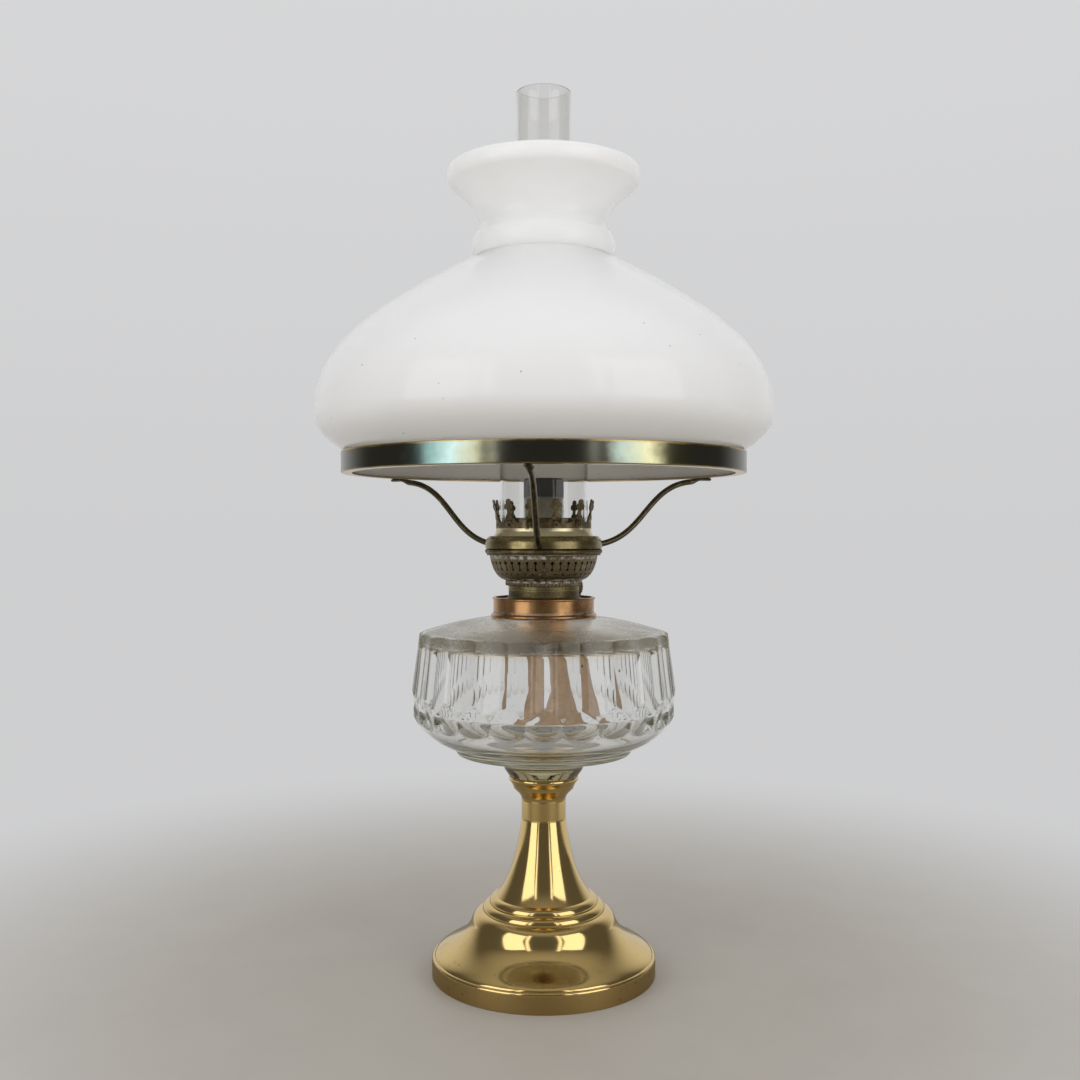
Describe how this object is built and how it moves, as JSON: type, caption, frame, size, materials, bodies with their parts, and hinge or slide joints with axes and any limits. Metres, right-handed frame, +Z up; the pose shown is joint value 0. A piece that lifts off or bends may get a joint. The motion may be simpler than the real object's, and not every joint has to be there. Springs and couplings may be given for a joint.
{
  "type": "kerosene table lamp",
  "caption": "Kerosene table lamp with a brass foot, faceted glass font, round-wick burner with winder, clear chimney and a white glass shade on an armed ring holder.",
  "frame": {"origin": "centre of the foot's underside, on the table", "axes": "+Z up along the lamp's axis; the pictured front faces -Y and the winder's knob points to +Y"},
  "size_m": [0.27, 0.27, 0.5242],
  "materials": {
    "polished_brass": "polished, spun",
    "aged_brass": "aged, olive brown",
    "sooted_brass": "shiny below, blackened by soot at the top",
    "copper_brass": "copper brown, satin",
    "dark_brass": "dark olive bronze",
    "patinated_ring": "dark patina, worn bright at the upper edge",
    "knob_metal": "aged, notched edge",
    "steel": "plain turned",
    "ballast_iron": "rough cast",
    "felt": "green felt",
    "plaster": "dry plaster",
    "font_glass": "thick pressed clear glass",
    "chimney_glass": "thin clear blown glass",
    "opal_glass": "white opal, glossy",
    "wick_cotton": "woven cotton, charred at the top",
    "gasket_cork": "pressed cork"
  },
  "bodies": {
    "lamp": {"foot_shell": "polished_brass", "foot_weight": "ballast_iron", "foot_felt": "felt", "tie_rod": "steel", "tie_nut": "steel", "tie_washer": "steel", "stem_sleeve": "polished_brass", "font_cup": "polished_brass", "peg_cement": "plaster", "font": "font_glass", "collar_cement": "plaster", "font_collar": "copper_brass"},
    "gasket": {"burner_gasket": "gasket_cork"},
    "burner": {"burner_base": "aged_brass", "rope_ring": "aged_brass", "air_basket": "aged_brass", "gallery_dome": "aged_brass", "gallery_crown": "aged_brass", "draft_cone": "aged_brass", "wick_tube": "sooted_brass", "draft_tube": "aged_brass", "spindle_bush": "aged_brass"},
    "winder": {"wick_spindle": "aged_brass", "wick_wheels": "aged_brass", "wick_knob": "knob_metal"},
    "wick": {"wick": "wick_cotton"},
    "chimney": {"chimney": "chimney_glass"},
    "shade_holder": {"holder_base": "dark_brass", "holder_arm_1": "dark_brass", "holder_arm_2": "dark_brass", "holder_arm_3": "dark_brass", "shade_ring": "patinated_ring"},
    "shade": {"shade": "opal_glass"}
  },
  "joints": [
    {"name": "burner_rise", "type": "slide", "parent": "lamp", "child": "gasket", "axis": [0, 0, 1], "range_m": [0, 0.006]},
    {"name": "burner_turn", "type": "hinge", "parent": "gasket", "child": "burner", "pos_m": [0, 0, 0.2217], "axis": [0, 0, 1], "range_deg": [0, 1080]},
    {"name": "wick_turn", "type": "hinge", "parent": "burner", "child": "winder", "pos_m": [0.01514, 0, 0.2287], "axis": [0, 1, 0], "range_deg": [-90, 120]},
    {"name": "wick_rise", "type": "slide", "parent": "burner", "child": "wick", "axis": [0, 0, 1], "range_m": [-0.00582, 0.00776]},
    {"name": "chimney_lift", "type": "slide", "parent": "burner", "child": "chimney", "axis": [0, 0, 1], "range_m": [0, 0.23]},
    {"name": "holder_lift", "type": "slide", "parent": "burner", "child": "shade_holder", "axis": [0, 0, 1], "range_m": [0, 0.28]},
    {"name": "shade_lift", "type": "slide", "parent": "shade_holder", "child": "shade", "axis": [0, 0, 1], "range_m": [0, 0.23]}
  ],
  "couplings": [
    {"joint": "burner_rise", "follows": "burner_turn", "m_per_rad": 0.000318},
    {"joint": "wick_rise", "follows": "wick_turn", "m_per_rad": 0.0037}
  ]
}
